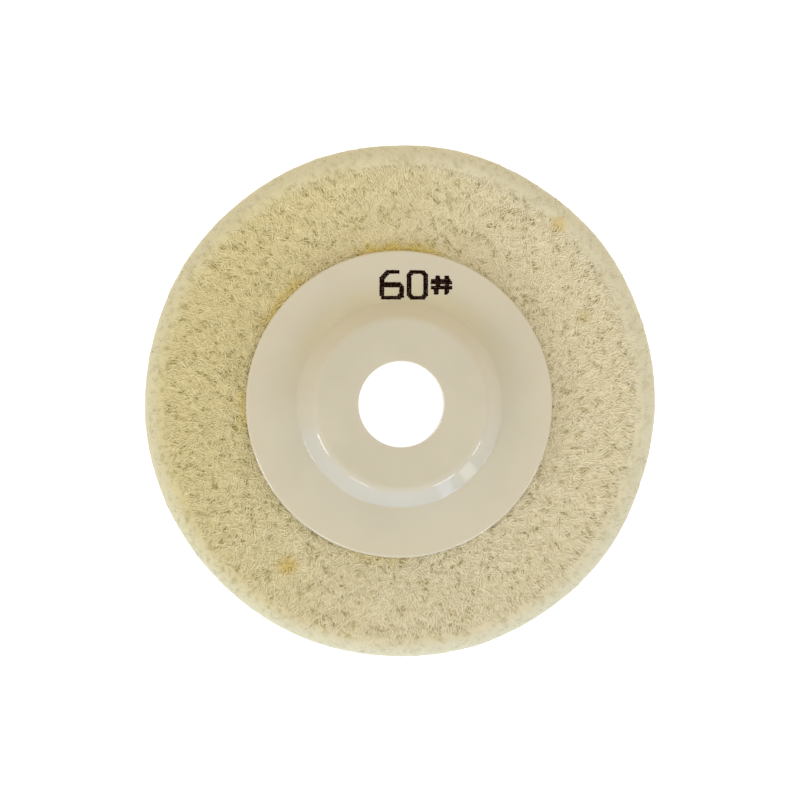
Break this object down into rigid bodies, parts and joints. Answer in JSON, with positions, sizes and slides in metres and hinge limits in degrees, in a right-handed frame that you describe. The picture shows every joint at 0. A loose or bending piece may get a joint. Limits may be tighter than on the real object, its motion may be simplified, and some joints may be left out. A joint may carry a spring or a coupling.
{
  "type": "polishing wheel",
  "caption": "Flat ring of non-woven polishing fibre, laminated in plies and glued to a dished round plastic backing plate with a plain arbor bore.",
  "frame": {"origin": "centre of the working face, on the wheel's axis", "axes": "+Z along the axis, from the working face towards the hub and the grinder; +Y from the axis towards the printed grit figures; +X to the right of the figures as they are read"},
  "size_m": [0.1, 0.1, 0.0175],
  "materials": {
    "plate_plastic": "moulded natural ivory plastic, slightly translucent, glossy",
    "web_fibre": "open non-woven web of bonded fibres, matt",
    "adhesive": "set amber adhesive",
    "ink": "thin dark ink laid in dots"
  },
  "bodies": {
    "root": {"backing_plate": "plate_plastic", "adhesive_ring": "adhesive", "web_ply_back": "web_fibre", "web_ply_middle": "web_fibre", "web_ply_front": "web_fibre", "grit_mark": "ink"}
  },
  "joints": []
}
